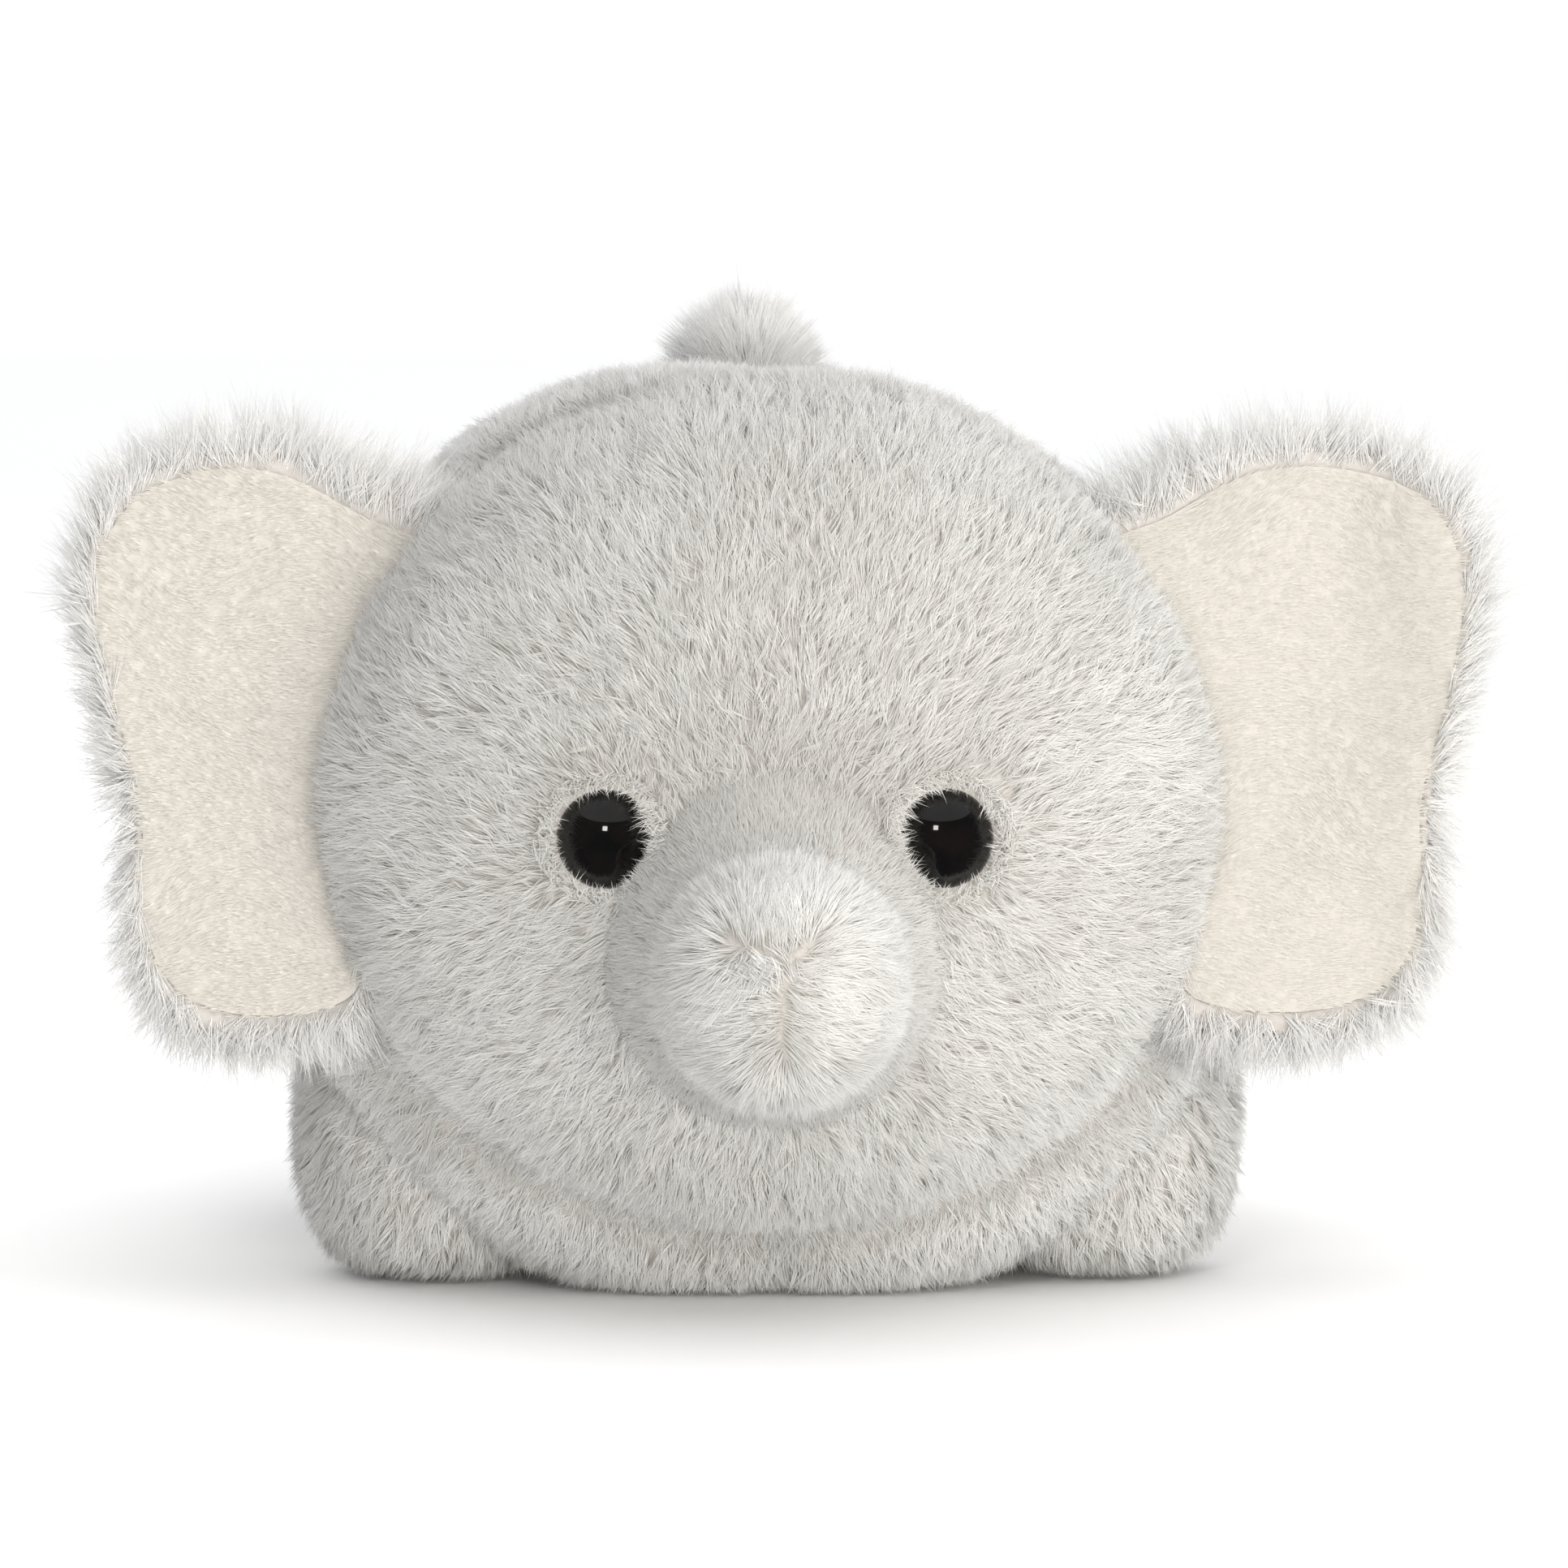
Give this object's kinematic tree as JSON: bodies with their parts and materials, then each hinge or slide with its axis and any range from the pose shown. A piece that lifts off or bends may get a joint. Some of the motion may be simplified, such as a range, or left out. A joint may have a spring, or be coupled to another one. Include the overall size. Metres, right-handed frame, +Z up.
{
  "type": "plush elephant",
  "caption": "Round loaf-shaped plush elephant lying on its belly, with lined side ears, a stubby trunk, stub feet and a tuft tail.",
  "frame": {"origin": "on the floor under the middle of the whole toy", "axes": "+Z up, the face looks towards -Y, +X is the animal's own left"},
  "size_m": [0.2222, 0.2546, 0.1528],
  "materials": {
    "fur": "matte",
    "ear_fur": "matte",
    "lining": "matte",
    "eye": "gloss",
    "washer": "matte",
    "stuffing": "matte",
    "pouch": "matte",
    "pellets": "matte"
  },
  "bodies": {
    "torso": {"face_panel_left": "fur", "face_panel_right": "fur", "back_panel_left": "fur", "back_panel_right": "fur", "belly_panel": "fur", "body_stuffing": "stuffing", "pellet_pouch": "pouch", "pellets": "pellets", "eye_left": "eye", "eye_right": "eye", "eye_washer_left": "washer", "eye_washer_right": "washer"},
    "trunk_root": {"trunk_root_stuffing": "stuffing"},
    "trunk": {"trunk_panel_left": "fur", "trunk_panel_right": "fur", "trunk_stuffing": "stuffing"},
    "ear_left": {"ear_back_left": "ear_fur", "ear_lining_left": "lining"},
    "foot_front_left": {"foot_skin_front_left": "fur", "foot_stuffing_front_left": "stuffing"},
    "foot_rear_left": {"foot_skin_rear_left": "fur", "foot_stuffing_rear_left": "stuffing"},
    "ear_right": {"ear_back_right": "ear_fur", "ear_lining_right": "lining"},
    "foot_front_right": {"foot_skin_front_right": "fur", "foot_stuffing_front_right": "stuffing"},
    "foot_rear_right": {"foot_skin_rear_right": "fur", "foot_stuffing_rear_right": "stuffing"},
    "tail": {"tail_skin": "fur", "tail_stuffing": "stuffing"}
  },
  "joints": [
    {"name": "ear_left_fold", "type": "hinge", "parent": "torso", "child": "ear_left", "pos_m": [0.0645, -0.05327, 0.0835], "axis": [0.2078, -0.2084, -0.9557], "range_deg": [-25, 35], "stiffness_Nm_per_rad": 0.004},
    {"name": "ear_right_fold", "type": "hinge", "parent": "torso", "child": "ear_right", "pos_m": [-0.0645, -0.05327, 0.0835], "axis": [0.2078, 0.2084, 0.9557], "range_deg": [-25, 35], "stiffness_Nm_per_rad": 0.004},
    {"name": "trunk_sway", "type": "hinge", "parent": "torso", "child": "trunk_root", "pos_m": [0, -0.0846, 0.058], "axis": [0, 0, 1], "range_deg": [-12, 12], "stiffness_Nm_per_rad": 0.02},
    {"name": "trunk_nod", "type": "hinge", "parent": "trunk_root", "child": "trunk", "pos_m": [0, -0.0846, 0.058], "axis": [1, 0, 0], "range_deg": [-8, 15], "stiffness_Nm_per_rad": 0.02},
    {"name": "tail_sway", "type": "hinge", "parent": "torso", "child": "tail", "pos_m": [0, 0.078, 0.136], "axis": [0, 1, 0], "range_deg": [-30, 30], "stiffness_Nm_per_rad": 0.004},
    {"name": "foot_front_left_swing", "type": "hinge", "parent": "torso", "child": "foot_front_left", "pos_m": [0.03, -0.027, 0.02], "axis": [0, 0, 1], "range_deg": [-8, 8], "stiffness_Nm_per_rad": 0.05},
    {"name": "foot_front_right_swing", "type": "hinge", "parent": "torso", "child": "foot_front_right", "pos_m": [-0.03, -0.027, 0.02], "axis": [0, 0, 1], "range_deg": [-8, 8], "stiffness_Nm_per_rad": 0.05},
    {"name": "foot_rear_left_swing", "type": "hinge", "parent": "torso", "child": "foot_rear_left", "pos_m": [0.025, 0.062, 0.02], "axis": [0, 0, 1], "range_deg": [-8, 8], "stiffness_Nm_per_rad": 0.05},
    {"name": "foot_rear_right_swing", "type": "hinge", "parent": "torso", "child": "foot_rear_right", "pos_m": [-0.025, 0.062, 0.02], "axis": [0, 0, 1], "range_deg": [-8, 8], "stiffness_Nm_per_rad": 0.05}
  ]
}
